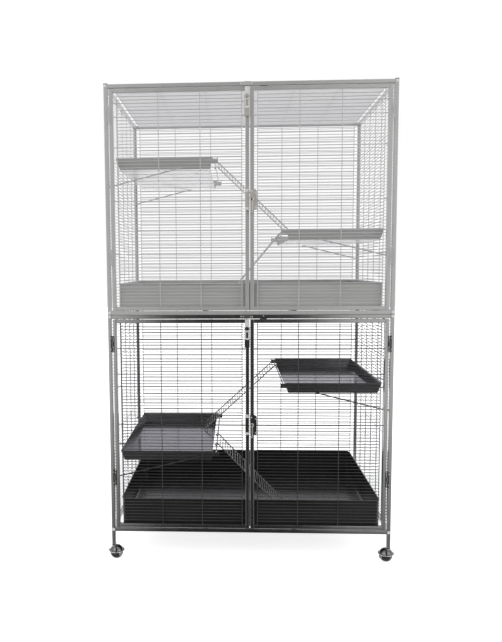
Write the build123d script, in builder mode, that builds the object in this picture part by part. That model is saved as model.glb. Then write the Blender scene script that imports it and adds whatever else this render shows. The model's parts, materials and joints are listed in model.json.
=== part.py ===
from build123d import *
from math import cos, radians, sin, tan
import os

os.makedirs("parts", exist_ok=True)

# Overall frame, with the origin on the floor below its middle and the doors at the -Y side
width = 950
depth = 630
lower_base = 99
lower_height = 747
upper_height = 752
leg_drop = 47

# Square tubes and welded wires
tube = 13
tube_wall = 1.2
door_tube = 12.7
door_tube_wall = 1.1
row_wire = 2.2
column_wire = 2.5
row_pitch = 10.8
weld_seam = 0.2
running_gap = 0.3

# Grilles: how many upright wires each has, and how far its outer ones stand from the tubes
door_columns = 4
door_column_inset = 11.5
back_columns = 7
back_column_inset = 14
side_columns = 7
side_column_inset = 8
panel_ties = (308, 581)

# Doors
door_side_gap = 4
door_centre_gap = 3
door_end_gap = 2

# Hinges
hinge_height = 54
hinge_reach = 6.5
leaf_thickness = 1.2
knuckle_radius = 2.2
knuckle_height = 18
hinge_pin_radius = 1.0
hinge_pin_gap = 0.1
leaf_notch = 2.7
leaf_overlap = 1.5

# Screw heads
screw_radius = 1.7
screw_height = 1.0
hinge_screw_spread = 38
hinge_screw_inset = 4.4

# Trays
tray_width = 886
tray_length = 595
tray_shift = -2.5
tray_wall = 1.2
tray_lean = 1.5
tray_rim = 3
bearer_x = 150

# Shelves
shelf_inner = 121
shelf_outer = 443
shelf_length = 580
shelf_lip = 36
shelf_flare = 12
shelf_end_lean = 10
shelf_wall = 1.5
ear_reach = 17
ear_depth = 19
ear_rise = 1
ear_shoulder = 4
ear_seat = 7
hanger_width = 20
hanger_spread = 400

# The rod between a shelf's ears, and the ramp that hooks on it
pivot_rod_radius = 2.5
pivot_rod_inset = 6
pivot_rod_drop = 9
ramp_width = 138
ramp_rail = 4
ramp_rung = 2.5
rung_pitch = 13
first_rung = 11
hook_gap = 0.4
hook_past_middle = 1.5

# Support rods under the shelves
support_radius = 2
support_slope = 14
support_bend = 2.5

# Slide bolts at the top of the left doors
bolt_x = -9
bolt_width = 14
bolt_thickness = 2.2
bolt_length = 85
bolt_rest_gap = 0.5
bolt_slots = ((30.5, 13), (52, 20))
bolt_slot_width = 7
guide_wall = 1.2
guide_height = 70
guide_drop = 24
guide_straps = ((-22, 26), (28, 6))
keeper_height = 12
keeper_left = -32
keeper_right = 10.5
keeper_screws = (-28.5, -21, 2.5, 8)

# Door stops behind the top rails
stop_x = 45.5
stop_width = 23
stop_height = 28
stop_thickness = 1.5
stop_rivet_drop = 4

# Latches on the right doors
latch_height = 377
latch_case_left = 0.5
latch_case_width = 22.2
latch_case_height = 67
latch_case_depth = 9
latch_case_wall = 1.2
latch_case_chamfer = 6
latch_pivot_x = 6
latch_disc_radius = 7
latch_disc_thickness = 1.8
spindle_radius = 2
spindle_length = 4
lever_length = 44
lever_width = 8
lever_slot = 4.4
tongue_height = 5
tongue_thickness = 3
tongue_length = 15
tongue_tip = 1
tongue_back = 2
strike_left = -15.5
strike_width = 12
strike_depth = 8
strike_wall = 1.4
strike_block = 8

# Casters
ball_radius = 22
ball_gap = 1.3
hood_wall = 1.3
hood_rim_height = 6
hood_rim_radius = 27
hood_rim_thickness = 1.2
cheek_inner = 24.3
cheek_thickness = 2
cheek_width = 13
axle_radius = 2.5
axle_gap = 0.1
caster_trail = 9
neck_radius = 6
stem_radius = 4
stem_gap = 0.1
stem_length = 22
socket_head = 3
socket_length = 28
plug_gap = 0.1

# Plastic pieces at the post ends and the rail bolts
collar_thickness = 1
connector_length = 30
cap_thickness = 2
cap_length = 13
cover_radius = 5
cover_thickness = 2

# Lines that several pieces share
inner_x = width / 2 - tube
inner_y = depth / 2 - tube
post_x = inner_x + tube / 2
post_y = inner_y + tube / 2
front = -depth / 2
junction = lower_base + lower_height
top = junction + upper_height
leg_bottom = lower_base - leg_drop
plug_size = tube - 2 * tube_wall - 2 * plug_gap
grille_depth = row_wire + weld_seam + column_wire

sides = {"left": -1, "right": 1}
tiers = {
    "lower": {
        "base": lower_base,
        "top": junction,
        "post_foot": leg_bottom,
        "post_head": junction - collar_thickness / 2,
        "hinges": (190, 650),
        "door_ties": (377, 504, 548, 634),
        "tray_rim": 112,
    },
    "upper": {
        "base": junction,
        "top": top,
        "post_foot": junction + collar_thickness / 2,
        "post_head": top,
        "hinges": (192, 655),
        "door_ties": (205, 377, 552, 649, 691),
        "tray_rim": 105,
    },
}


def wall_plane(x, y, z, outward):
    """A plane on a wall of the cage: local x runs across it, local y runs up."""
    return Plane(origin=(x, y, z), x_dir=Vector(0, 0, 1).cross(Vector(*outward)), z_dir=outward)


def tube_section(size, wall):
    Rectangle(size, size)
    Rectangle(size - 2 * wall, size - 2 * wall, mode=Mode.SUBTRACT)


def row_heights(height):
    count = round(height / row_pitch)
    return [height * step / count for step in range(1, count)]


def inner_columns(edge, count):
    return [edge * (2 * step / (count - 1) - 1) for step in range(1, count - 1)]


def nearest(values, wanted):
    return sorted({min(values, key=lambda value: abs(value - want)) for want in wanted})


def rectangle_wire(left, right, low, high):
    return Wire.make_polygon([(left, low), (right, low), (right, high), (left, high)], close=True)


def row_layer(edge, reach, height, ties):
    """The rows of a grille with its two edge columns, from (-reach, 0) to (reach, height).

    The rows end at the edge columns, apart from the tie rows, which run out to the tubes.
    """
    rows = row_heights(height)
    outer, inner = edge + column_wire / 2, edge - column_wire / 2
    half, low, high = row_wire / 2, weld_seam, height - weld_seam
    first, last, tip = rows[0] - row_wire / 2, rows[-1] + row_wire / 2, reach - weld_seam
    points = [(-outer, low), (-inner, low), (-inner, first), (inner, first), (inner, low), (outer, low)]
    for tie in nearest(rows, ties):
        points += [(outer, tie - half), (tip, tie - half), (tip, tie + half), (outer, tie + half)]
    points += [(outer, high), (inner, high), (inner, last), (-inner, last), (-inner, high), (-outer, high)]
    for tie in reversed(nearest(rows, ties)):
        points += [(-outer, tie + half), (-tip, tie + half), (-tip, tie - half), (-outer, tie - half)]
    gaps = [rectangle_wire(-inner, inner, a + half, b - half) for a, b in zip(rows, rows[1:])]
    return Face(Wire.make_polygon(points, close=True), gaps)


# Side frames: two posts and two rails each
for tier, level in tiers.items():
    for side_name, side in sides.items():
        with BuildPart() as side_frame:
            with BuildSketch(Plane.XY.offset(level["post_foot"])):
                with Locations((side * post_x, -post_y), (side * post_x, post_y)):
                    tube_section(tube, tube_wall)
            extrude(amount=level["post_head"] - level["post_foot"])
            with BuildSketch(Plane.XZ.offset(weld_seam - inner_y)):
                with Locations(
                    (side * post_x, level["base"] + tube / 2), (side * post_x, level["top"] - tube / 2)
                ):
                    tube_section(tube, tube_wall)
            extrude(amount=2 * (inner_y - weld_seam))
        side_frame.part.label = f"{tier}_{side_name}_frame"
        export_step(side_frame.part, f"parts/{side_frame.part.label}.step")

# Cross rails, with the two bearers that carry the tray
for tier, level in tiers.items():
    low_rail, high_rail = level["base"] + tube / 2, level["top"] - tube / 2
    with BuildPart() as cross_rails:
        with BuildSketch(Plane.YZ.offset(weld_seam - inner_x)):
            with Locations(
                (-post_y, low_rail), (post_y, low_rail), (-post_y, high_rail), (post_y, high_rail)
            ):
                tube_section(tube, tube_wall)
        extrude(amount=2 * (inner_x - weld_seam))
        with BuildSketch(Plane.XZ.offset(weld_seam - inner_y)):
            with Locations((-bearer_x, low_rail), (bearer_x, low_rail)):
                tube_section(tube, tube_wall)
        extrude(amount=2 * (inner_y - weld_seam))
    cross_rails.part.label = f"{tier}_cross_rails"
    export_step(cross_rails.part, f"parts/{cross_rails.part.label}.step")

# Fixed grilles: the two sides and the back of each tier
for tier, level in tiers.items():
    low = level["base"] + tube
    height = level["top"] - level["base"] - 2 * tube
    walls = {
        "left": (wall_plane(-post_x, 0, low, (-1, 0, 0)), inner_y, side_column_inset, side_columns),
        "right": (wall_plane(post_x, 0, low, (1, 0, 0)), inner_y, side_column_inset, side_columns),
        "back": (wall_plane(0, post_y, low, (0, 1, 0)), inner_x, back_column_inset, back_columns),
    }
    for wall_name, (plane, reach, inset, columns) in walls.items():
        edge = reach - inset
        with BuildPart() as wall_grille:
            with BuildSketch(plane.offset(-grille_depth / 2)):
                add(row_layer(edge, reach, height, panel_ties))
            extrude(amount=row_wire)
            with BuildSketch(plane.offset(grille_depth / 2 - column_wire)):
                with Locations(*[(x, height / 2) for x in inner_columns(edge, columns)]):
                    Rectangle(column_wire, height - 2 * weld_seam)
            extrude(amount=column_wire)
        wall_grille.part.label = f"{tier}_{wall_name}_grille"
        export_step(wall_grille.part, f"parts/{wall_grille.part.label}.step")

# Roof grille: the rows run across, the columns from front to back
roof_plane = Plane(origin=(0, -inner_y, top - tube / 2), x_dir=(1, 0, 0), z_dir=(0, 0, 1))
roof_edge = inner_x - back_column_inset
with BuildPart() as roof_grille:
    with BuildSketch(roof_plane.offset(-grille_depth / 2)):
        add(row_layer(roof_edge, inner_x, 2 * inner_y, (inner_y,)))
    extrude(amount=row_wire)
    with BuildSketch(roof_plane.offset(grille_depth / 2 - column_wire)):
        with Locations(*[(x, inner_y) for x in inner_columns(roof_edge, back_columns)]):
            Rectangle(column_wire, 2 * (inner_y - weld_seam))
    extrude(amount=column_wire)
roof_grille.part.label = "roof_grille"
export_step(roof_grille.part, "parts/roof_grille.step")

# Doors: stiles of full height with rails between them, and the moving hinge leaves
door_far = inner_x - door_side_gap
door_near = door_centre_gap / 2
door_middle = (door_far + door_near) / 2
door_reach = (door_far - door_near) / 2 - door_tube
door_y = front + door_tube / 2
hinge_x = inner_x - door_side_gap / 2
hinge_y = front - knuckle_radius
for tier, level in tiers.items():
    low = level["base"] + tube + door_end_gap
    height = level["top"] - level["base"] - 2 * (tube + door_end_gap)
    for side_name, side in sides.items():
        with BuildPart() as door:
            with BuildSketch(Plane.XY.offset(low)):
                with Locations(
                    (side * (door_far - door_tube / 2), door_y), (side * (door_near + door_tube / 2), door_y)
                ):
                    tube_section(door_tube, door_tube_wall)
            extrude(amount=height)
            with BuildSketch(Plane.YZ.offset(side * door_middle - door_reach + weld_seam)):
                with Locations((door_y, low + door_tube / 2), (door_y, low + height - door_tube / 2)):
                    tube_section(door_tube, door_tube_wall)
            extrude(amount=2 * (door_reach - weld_seam))
            for hinge in level["hinges"]:
                centre = level["base"] + hinge
                with BuildSketch(Plane.XZ.offset(-front)):
                    with Locations((side * (hinge_x - (hinge_reach + leaf_overlap) / 2), centre)):
                        Rectangle(hinge_reach - leaf_overlap, hinge_height)
                    with Locations(
                        (side * (hinge_x - leaf_notch / 2), centre + (hinge_height + knuckle_height) / 4),
                        (side * (hinge_x - leaf_notch / 2), centre - (hinge_height + knuckle_height) / 4),
                    ):
                        Rectangle(leaf_notch, (hinge_height - knuckle_height) / 2, mode=Mode.SUBTRACT)
                extrude(amount=leaf_thickness)
                with BuildSketch(Plane.XY.offset(centre - knuckle_height / 2)):
                    with Locations((side * hinge_x, hinge_y)):
                        Circle(knuckle_radius)
                extrude(amount=knuckle_height)
                with BuildSketch(Plane.XY.offset(centre - hinge_height / 2)):
                    with Locations((side * hinge_x, hinge_y)):
                        Circle(hinge_pin_radius + hinge_pin_gap)
                extrude(amount=hinge_height, mode=Mode.SUBTRACT)
        door.part.label = f"{tier}_{side_name}_door"
        export_step(door.part, f"parts/{door.part.label}.step")

# Door grilles
for tier, level in tiers.items():
    low = level["base"] + tube + door_end_gap + door_tube
    height = level["top"] - low - (low - level["base"])
    edge = door_reach - door_column_inset
    ties = [tie - (low - level["base"]) for tie in level["door_ties"]]
    for side_name, side in sides.items():
        plane = wall_plane(side * door_middle, door_y, low, (0, -1, 0))
        with BuildPart() as door_grille:
            with BuildSketch(plane.offset(-grille_depth / 2)):
                add(row_layer(edge, door_reach, height, ties))
            extrude(amount=row_wire)
            with BuildSketch(plane.offset(grille_depth / 2 - column_wire)):
                with Locations(*[(x, height / 2) for x in inner_columns(edge, door_columns)]):
                    Rectangle(column_wire, height - 2 * weld_seam)
            extrude(amount=column_wire)
        door_grille.part.label = f"{tier}_{side_name}_door_grille"
        export_step(door_grille.part, f"parts/{door_grille.part.label}.step")

# Fixed hinge leaves on the posts, each with its outer knuckles and its pin
with BuildPart() as hinge_leaves:
    for side in sides.values():
        for level in tiers.values():
            for hinge in level["hinges"]:
                centre = level["base"] + hinge
                middle_gap = knuckle_height + 2 * running_gap
                outer_knuckle = (hinge_height - middle_gap) / 2
                with BuildSketch(Plane.XZ.offset(-front)):
                    with Locations((side * (hinge_x + (hinge_reach + leaf_overlap) / 2), centre)):
                        Rectangle(hinge_reach - leaf_overlap, hinge_height)
                    with Locations((side * (hinge_x + leaf_notch / 2), centre)):
                        Rectangle(leaf_notch, middle_gap, mode=Mode.SUBTRACT)
                extrude(amount=leaf_thickness)
                for foot in (centre - hinge_height / 2, centre + middle_gap / 2):
                    with BuildSketch(Plane.XY.offset(foot)):
                        with Locations((side * hinge_x, hinge_y)):
                            Circle(knuckle_radius)
                    extrude(amount=outer_knuckle)
                with BuildSketch(Plane.XY.offset(centre - hinge_height / 2)):
                    with Locations((side * hinge_x, hinge_y)):
                        Circle(hinge_pin_radius)
                extrude(amount=hinge_height)
hinge_leaves.part.label = "hinge_leaves"
export_step(hinge_leaves.part, "parts/hinge_leaves.step")

# Trays with leaning walls and a flat rim, standing on the bearers
for tier, level in tiers.items():
    foot = level["base"] + tube + weld_seam
    rim = level["base"] + level["tray_rim"]
    wall_width, wall_length = tray_width - 2 * tray_rim, tray_length - 2 * tray_rim
    with BuildPart() as tray:
        with BuildSketch(Plane.XY.offset(foot)):
            with Locations((0, tray_shift)):
                Rectangle(wall_width - 2 * tray_lean, wall_length - 2 * tray_lean)
        with BuildSketch(Plane.XY.offset(rim)):
            with Locations((0, tray_shift)):
                Rectangle(wall_width, wall_length)
        loft()
        with BuildSketch(Plane.XY.offset(rim)):
            with Locations((0, tray_shift)):
                Rectangle(tray_width, tray_length)
        extrude(amount=-tray_wall)
        with BuildSketch(Plane.XY.offset(foot + tray_wall)):
            with Locations((0, tray_shift)):
                Rectangle(
                    wall_width - 2 * (tray_lean + tray_wall), wall_length - 2 * (tray_lean + tray_wall)
                )
        with BuildSketch(Plane.XY.offset(rim)):
            with Locations((0, tray_shift)):
                Rectangle(wall_width - 2 * tray_wall, wall_length - 2 * tray_wall)
        loft(mode=Mode.SUBTRACT)
    tray.part.label = f"{tier}_tray"
    export_step(tray.part, f"parts/{tray.part.label}.step")

# Shelves: the height of the rim, the slope of the ramp and how far it stands from the front (-1) or
# rear (1) rim, and the inner end of the support rods with its height above the shelf's floor
shelves = {
    "lower_right": {"side": 1, "rim": 613, "ramp_slope": 42.8, "ramp_from": (1, 92), "support": (226, 2)},
    "lower_left": {"side": -1, "rim": 376, "ramp_slope": 46, "ramp_from": (-1, 178), "support": (160, 19)},
    "upper_left": {
        "side": -1, "rim": 1364.5, "ramp_slope": 43.7, "ramp_from": (-1, 102), "support": (226, 3),
    },
    "upper_right": {"side": 1, "rim": 1128, "ramp_slope": 50, "ramp_from": (-1, 178), "support": (231, 2)},
}
floors = {
    "lower_right": shelves["lower_left"]["rim"] - shelf_lip + shelf_wall,
    "lower_left": tiers["lower"]["base"] + tube + weld_seam + tray_wall,
    "upper_left": shelves["upper_right"]["rim"] - shelf_lip + shelf_wall,
    "upper_right": tiers["upper"]["base"] + tube + weld_seam + tray_wall,
}
pivot_x = shelf_inner - pivot_rod_inset
support_y = shelf_length / 2


def shelf_rectangle(side, rise, inset, inner):
    """The shelf's outline at a height above its floor, between inner and the far wall."""
    grow = shelf_flare * rise / shelf_lip - inset
    outer = shelf_outer - shelf_flare + grow
    with Locations((side * (inner + outer) / 2, 0)):
        Rectangle(outer - inner, shelf_length - 2 * shelf_flare + 2 * grow)


def ear_face(side, end, rim):
    """The outer face of the ear at one end of the pivot rod, in the plane of the leaning wall."""
    outline = (
        (shelf_inner + ear_seat, ear_depth),
        (shelf_inner - ear_reach, ear_depth),
        (shelf_inner - ear_reach, -ear_rise),
        (shelf_inner - ear_reach + ear_shoulder, ear_shoulder),
        (shelf_inner + ear_seat, ear_shoulder),
    )
    return Face(Wire.make_polygon([
        (side * x, end * (shelf_length / 2 - shelf_flare * drop / shelf_lip), rim - drop)
        for x, drop in outline
    ], close=True))


for shelf_name, place in shelves.items():
    side, rim = place["side"], place["rim"]
    with BuildPart() as shelf:
        with BuildSketch(Plane.XY.offset(rim - shelf_lip)):
            shelf_rectangle(side, 0, 0, shelf_inner + shelf_end_lean)
        with BuildSketch(Plane.XY.offset(rim)):
            shelf_rectangle(side, shelf_lip, 0, shelf_inner)
        loft()
        with BuildSketch(Plane.XY.offset(rim - shelf_lip + shelf_wall)):
            shelf_rectangle(side, shelf_wall, shelf_wall, shelf_inner - ear_reach)
        with BuildSketch(Plane.XY.offset(rim)):
            shelf_rectangle(side, shelf_lip, shelf_wall, shelf_inner - ear_reach)
        loft(mode=Mode.SUBTRACT)
        for end in (-1, 1):
            extrude(ear_face(side, end, rim), amount=shelf_wall, dir=(0, -end, 0))
        rod_reach = (shelf_length - shelf_wall) / 2 - shelf_flare * pivot_rod_drop / shelf_lip
        with BuildSketch(Plane.XZ):
            with Locations((side * pivot_x, rim - pivot_rod_drop)):
                Circle(pivot_rod_radius)
        extrude(amount=rod_reach, both=True)
        hanger_reach = post_x - grille_depth / 2 - running_gap - shelf_outer
        with BuildSketch(Plane.XY.offset(rim - shelf_wall)):
            with Locations(*[
                (side * (shelf_outer + (hanger_reach - shelf_wall) / 2), y)
                for y in (-hanger_spread / 2, hanger_spread / 2)
            ]):
                Rectangle(hanger_reach + shelf_wall, hanger_width)
        extrude(amount=shelf_wall)
    shelf.part.label = f"{shelf_name}_shelf"
    export_step(shelf.part, f"parts/{shelf.part.label}.step")

# Support rods: each slopes up from the side grille and bends in to the shelf's wall
support_far = post_x - grille_depth / 2 - running_gap - support_radius * sin(radians(support_slope))
for tier in tiers:
    with BuildPart() as shelf_rods:
        for shelf_name, place in shelves.items():
            if not shelf_name.startswith(tier):
                continue
            side, floor = place["side"], place["rim"] - shelf_lip
            near, rise = place["support"]
            drop = (support_far - near) * tan(radians(support_slope))
            flare = shelf_flare * (shelf_lip - rise - support_radius) / shelf_lip
            wall_y = shelf_length / 2 - flare + running_gap
            for end in (-1, 1):
                with BuildLine():
                    FilletPolyline(
                        (side * support_far, end * support_y, floor + rise - drop),
                        (side * near, end * support_y, floor + rise),
                        (side * near, end * wall_y, floor + rise),
                        radius=support_bend,
                    )
                with BuildSketch(
                    Plane(
                        origin=(side * support_far, end * support_y, floor + rise - drop),
                        z_dir=(side * (near - support_far), 0, drop),
                    )
                ):
                    Circle(support_radius)
                sweep()
    shelf_rods.part.label = f"{tier}_shelf_rods"
    export_step(shelf_rods.part, f"parts/{shelf_rods.part.label}.step")

# Ramps: a ladder of rungs between two rails, hooked over the pivot rod
hook_inner = pivot_rod_radius + hook_gap
hook_radius = hook_inner + ramp_rail / 2
for shelf_name, place in shelves.items():
    side, slope = place["side"], radians(place["ramp_slope"])
    ramp_end, ramp_inset = place["ramp_from"]
    ramp_y = ramp_end * (shelf_length / 2 - ramp_inset)
    pivot_z = place["rim"] - pivot_rod_drop
    down = Vector(-side * cos(slope), 0, -sin(slope))
    up = Vector(-side * sin(slope), 0, cos(slope))
    foot = floors[shelf_name] + running_gap
    length = (pivot_z + (hook_radius - ramp_rail / 2) * cos(slope) - foot) / sin(slope)
    rungs = [first_rung + rung_pitch * step for step in range(int((length - first_rung) / rung_pitch) + 1)]
    inner = ramp_width / 2 - ramp_rail
    ladder = Plane(
        origin=Vector(side * pivot_x, ramp_y, pivot_z) + up * hook_radius, x_dir=down, z_dir=up
    )
    steps = [
        rectangle_wire(a + ramp_rung / 2, b - ramp_rung / 2, -inner, inner) for a, b in zip(rungs, rungs[1:])
    ]
    with BuildPart() as ramp:
        with BuildSketch(ladder.offset(-ramp_rung / 2)):
            rung_end = inner + ramp_rail / 2
            first, last = rungs[0] - ramp_rung / 2, rungs[-1] + ramp_rung / 2
            outline = rectangle_wire(first, last, -rung_end, rung_end)
            add(Face(outline, steps))
        extrude(amount=ramp_rung)
        with BuildSketch(ladder.offset(-ramp_rail / 2)):
            with Locations(*[(length / 2, end * (inner + ramp_rail / 2)) for end in (-1, 1)]):
                Rectangle(length, ramp_rail)
        extrude(amount=ramp_rail)
        for end in (-1, 1):
            rail_y = ramp_y + end * (inner + ramp_rail / 2)
            hook = Plane(origin=(side * pivot_x, rail_y, pivot_z), x_dir=down, z_dir=(0, side, 0))
            with BuildSketch(hook):
                Circle(hook_radius + ramp_rail / 2)
                Circle(hook_inner, mode=Mode.SUBTRACT)
                with Locations((hook_past_middle + hook_radius, 0)):
                    Rectangle(2 * hook_radius, 4 * hook_radius, mode=Mode.SUBTRACT)
            extrude(amount=ramp_rail / 2, both=True)
    ramp.part.label = f"{shelf_name}_ramp"
    export_step(ramp.part, f"parts/{ramp.part.label}.step")

# Slide bolts: a stamped strip in a guide on the left door, thrown up into a keeper on the frame
plate_y = front - weld_seam
bolt_back = plate_y - guide_wall - running_gap
strap_width = bolt_width + 2 * (running_gap + guide_wall)
strap_depth = 2 * guide_wall + 2 * running_gap + bolt_thickness


def strap_ring():
    """A strap round the bolt, seen from above."""
    with Locations((bolt_x, plate_y - strap_depth / 2)):
        Rectangle(strap_width, strap_depth)
        Rectangle(strap_width - 2 * guide_wall, strap_depth - 2 * guide_wall, mode=Mode.SUBTRACT)


for tier, level in tiers.items():
    door_top = level["top"] - tube - door_end_gap
    bolt_top = door_top - bolt_rest_gap
    guide_middle = door_top - guide_drop - guide_height / 2
    with BuildPart() as bolt:
        with BuildSketch(Plane.XZ.offset(-bolt_back)):
            with Locations((bolt_x, bolt_top - bolt_length / 2)):
                Rectangle(bolt_width, bolt_length)
            for slot_drop, slot_height in bolt_slots:
                with Locations((bolt_x, bolt_top - slot_drop)):
                    Rectangle(bolt_slot_width, slot_height, mode=Mode.SUBTRACT)
        extrude(amount=bolt_thickness)
    bolt.part.label = f"{tier}_bolt"
    export_step(bolt.part, f"parts/{bolt.part.label}.step")

    with BuildPart() as bolt_guide:
        with BuildSketch(Plane.XZ.offset(-plate_y)):
            with Locations((bolt_x, guide_middle)):
                Rectangle(strap_width, guide_height)
        extrude(amount=guide_wall)
        for strap_rise, strap_height in guide_straps:
            with BuildSketch(Plane.XY.offset(guide_middle + strap_rise - strap_height / 2)):
                strap_ring()
            extrude(amount=strap_height)
    bolt_guide.part.label = f"{tier}_bolt_guide"
    export_step(bolt_guide.part, f"parts/{bolt_guide.part.label}.step")

# Keepers for the bolts, on the top rail of each tier
with BuildPart() as bolt_keepers:
    for level in tiers.values():
        keeper_low = level["top"] - (tube + keeper_height) / 2
        with BuildSketch(Plane.XZ.offset(-plate_y)):
            with Locations(((keeper_left + keeper_right) / 2, keeper_low + keeper_height / 2)):
                Rectangle(keeper_right - keeper_left, keeper_height)
        extrude(amount=guide_wall)
        with BuildSketch(Plane.XY.offset(keeper_low)):
            strap_ring()
        extrude(amount=keeper_height)
bolt_keepers.part.label = "bolt_keepers"
export_step(bolt_keepers.part, "parts/bolt_keepers.step")

# Door stops: plates on the back of the top rails that the right doors close against
with BuildPart() as door_stops:
    for level in tiers.values():
        with BuildSketch(Plane.XZ.offset(inner_y - weld_seam)):
            with Locations((stop_x, level["top"] - stop_height / 2)):
                RectangleRounded(stop_width, stop_height, radius=stop_rivet_drop)
        extrude(amount=-stop_thickness)
door_stops.part.label = "door_stops"
export_step(door_stops.part, "parts/door_stops.step")

# Screw heads on the frame: at the fixed hinge leaves, the keepers and the door stops
with BuildPart() as frame_screws:
    for level in tiers.values():
        for side in sides.values():
            for hinge in level["hinges"]:
                centre = level["base"] + hinge
                with BuildSketch(Plane.XZ.offset(leaf_thickness - front)):
                    with Locations(*[
                        (side * (hinge_x + hinge_screw_inset), centre + end * hinge_screw_spread / 2)
                        for end in (-1, 1)
                    ]):
                        Circle(screw_radius)
                extrude(amount=screw_height)
        keeper_middle = level["top"] - tube / 2
        with BuildSketch(Plane.XZ.offset(guide_wall - plate_y)):
            with Locations(*[(x, keeper_middle) for x in keeper_screws]):
                Circle(screw_radius)
        extrude(amount=screw_height)
        with BuildSketch(Plane.XZ.offset(-front)):
            with Locations((stop_x, level["top"] - stop_rivet_drop)):
                Circle(screw_radius)
        extrude(amount=screw_height)
frame_screws.part.label = "frame_screws"
export_step(frame_screws.part, "parts/frame_screws.step")

# Latches: a case with a lever on the right door, and a strike for the tongue on the left door
tongue_y = plate_y - tongue_back
for tier, level in tiers.items():
    centre = level["base"] + latch_height
    case_middle = (latch_case_left + latch_case_width / 2, centre)
    with BuildPart() as latch_case:
        with BuildSketch(Plane.XZ.offset(-plate_y)):
            with Locations(case_middle):
                case_outline = Rectangle(latch_case_width, latch_case_height)
            chamfer(case_outline.vertices().group_by(Axis.X)[-1].sort_by(Axis.Y)[-1], latch_case_chamfer)
        extrude(amount=latch_case_depth)
        with BuildSketch(Plane.XZ.offset(latch_case_wall - plate_y)):
            with Locations(case_middle):
                Rectangle(
                    latch_case_width - 2 * (latch_case_wall + latch_case_chamfer / 2),
                    latch_case_height - 2 * (latch_case_wall + latch_case_chamfer / 2),
                )
            with Locations((latch_case_left + latch_case_width / 3, centre)):
                Rectangle(latch_case_width * 2 / 3 - 2 * latch_case_wall, tongue_height + 2 * lever_width)
        extrude(amount=latch_case_depth - 2 * latch_case_wall, mode=Mode.SUBTRACT)
        with BuildSketch(Plane.YZ.offset(latch_case_left)):
            with Locations((tongue_y - tongue_thickness / 2, centre)):
                Rectangle(tongue_thickness + 2 * running_gap, tongue_height + 2 * running_gap)
        extrude(amount=latch_case_width / 2, mode=Mode.SUBTRACT)
        with BuildSketch(Plane.XZ.offset(latch_case_depth / 2 - plate_y)):
            with Locations((latch_pivot_x, centre)):
                Circle(spindle_radius + axle_gap)
        extrude(amount=latch_case_depth / 2, mode=Mode.SUBTRACT)
    latch_case.part.label = f"{tier}_latch_case"
    export_step(latch_case.part, f"parts/{latch_case.part.label}.step")

    lever_back = plate_y - latch_case_depth - running_gap
    with BuildPart() as latch_lever:
        with BuildSketch(Plane.XZ.offset(-lever_back)):
            with Locations((latch_pivot_x, centre - lever_length / 2)):
                Rectangle(lever_width, lever_length)
            with Locations((latch_pivot_x, centre - (lever_length + latch_disc_radius) / 2)):
                slot_length = lever_length - latch_disc_radius - (lever_width - lever_slot)
                Rectangle(lever_slot, slot_length, mode=Mode.SUBTRACT)
            with Locations((latch_pivot_x, centre)):
                Circle(latch_disc_radius)
        extrude(amount=latch_disc_thickness)
        with BuildSketch(Plane.XZ.offset(-lever_back)):
            with Locations((latch_pivot_x, centre)):
                Circle(spindle_radius)
        extrude(amount=-spindle_length)
    latch_lever.part.label = f"{tier}_latch_lever"
    export_step(latch_lever.part, f"parts/{latch_lever.part.label}.step")

    with BuildPart() as latch_tongue:
        with BuildSketch(Plane.XZ.offset(-tongue_y)):
            with Locations((tongue_tip + tongue_length / 2, centre)):
                Rectangle(tongue_length, tongue_height)
        extrude(amount=tongue_thickness)
    latch_tongue.part.label = f"{tier}_latch_tongue"
    export_step(latch_tongue.part, f"parts/{latch_tongue.part.label}.step")

    with BuildPart() as strike_plate:
        with BuildSketch(Plane.YZ.offset(strike_left)):
            with Locations((plate_y - strike_depth / 2, centre)):
                Rectangle(strike_depth, latch_case_height)
                Rectangle(
                    strike_depth - 2 * strike_wall, latch_case_height - 2 * strike_block, mode=Mode.SUBTRACT
                )
        extrude(amount=strike_width)
    strike_plate.part.label = f"{tier}_strike_plate"
    export_step(strike_plate.part, f"parts/{strike_plate.part.label}.step")

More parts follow.
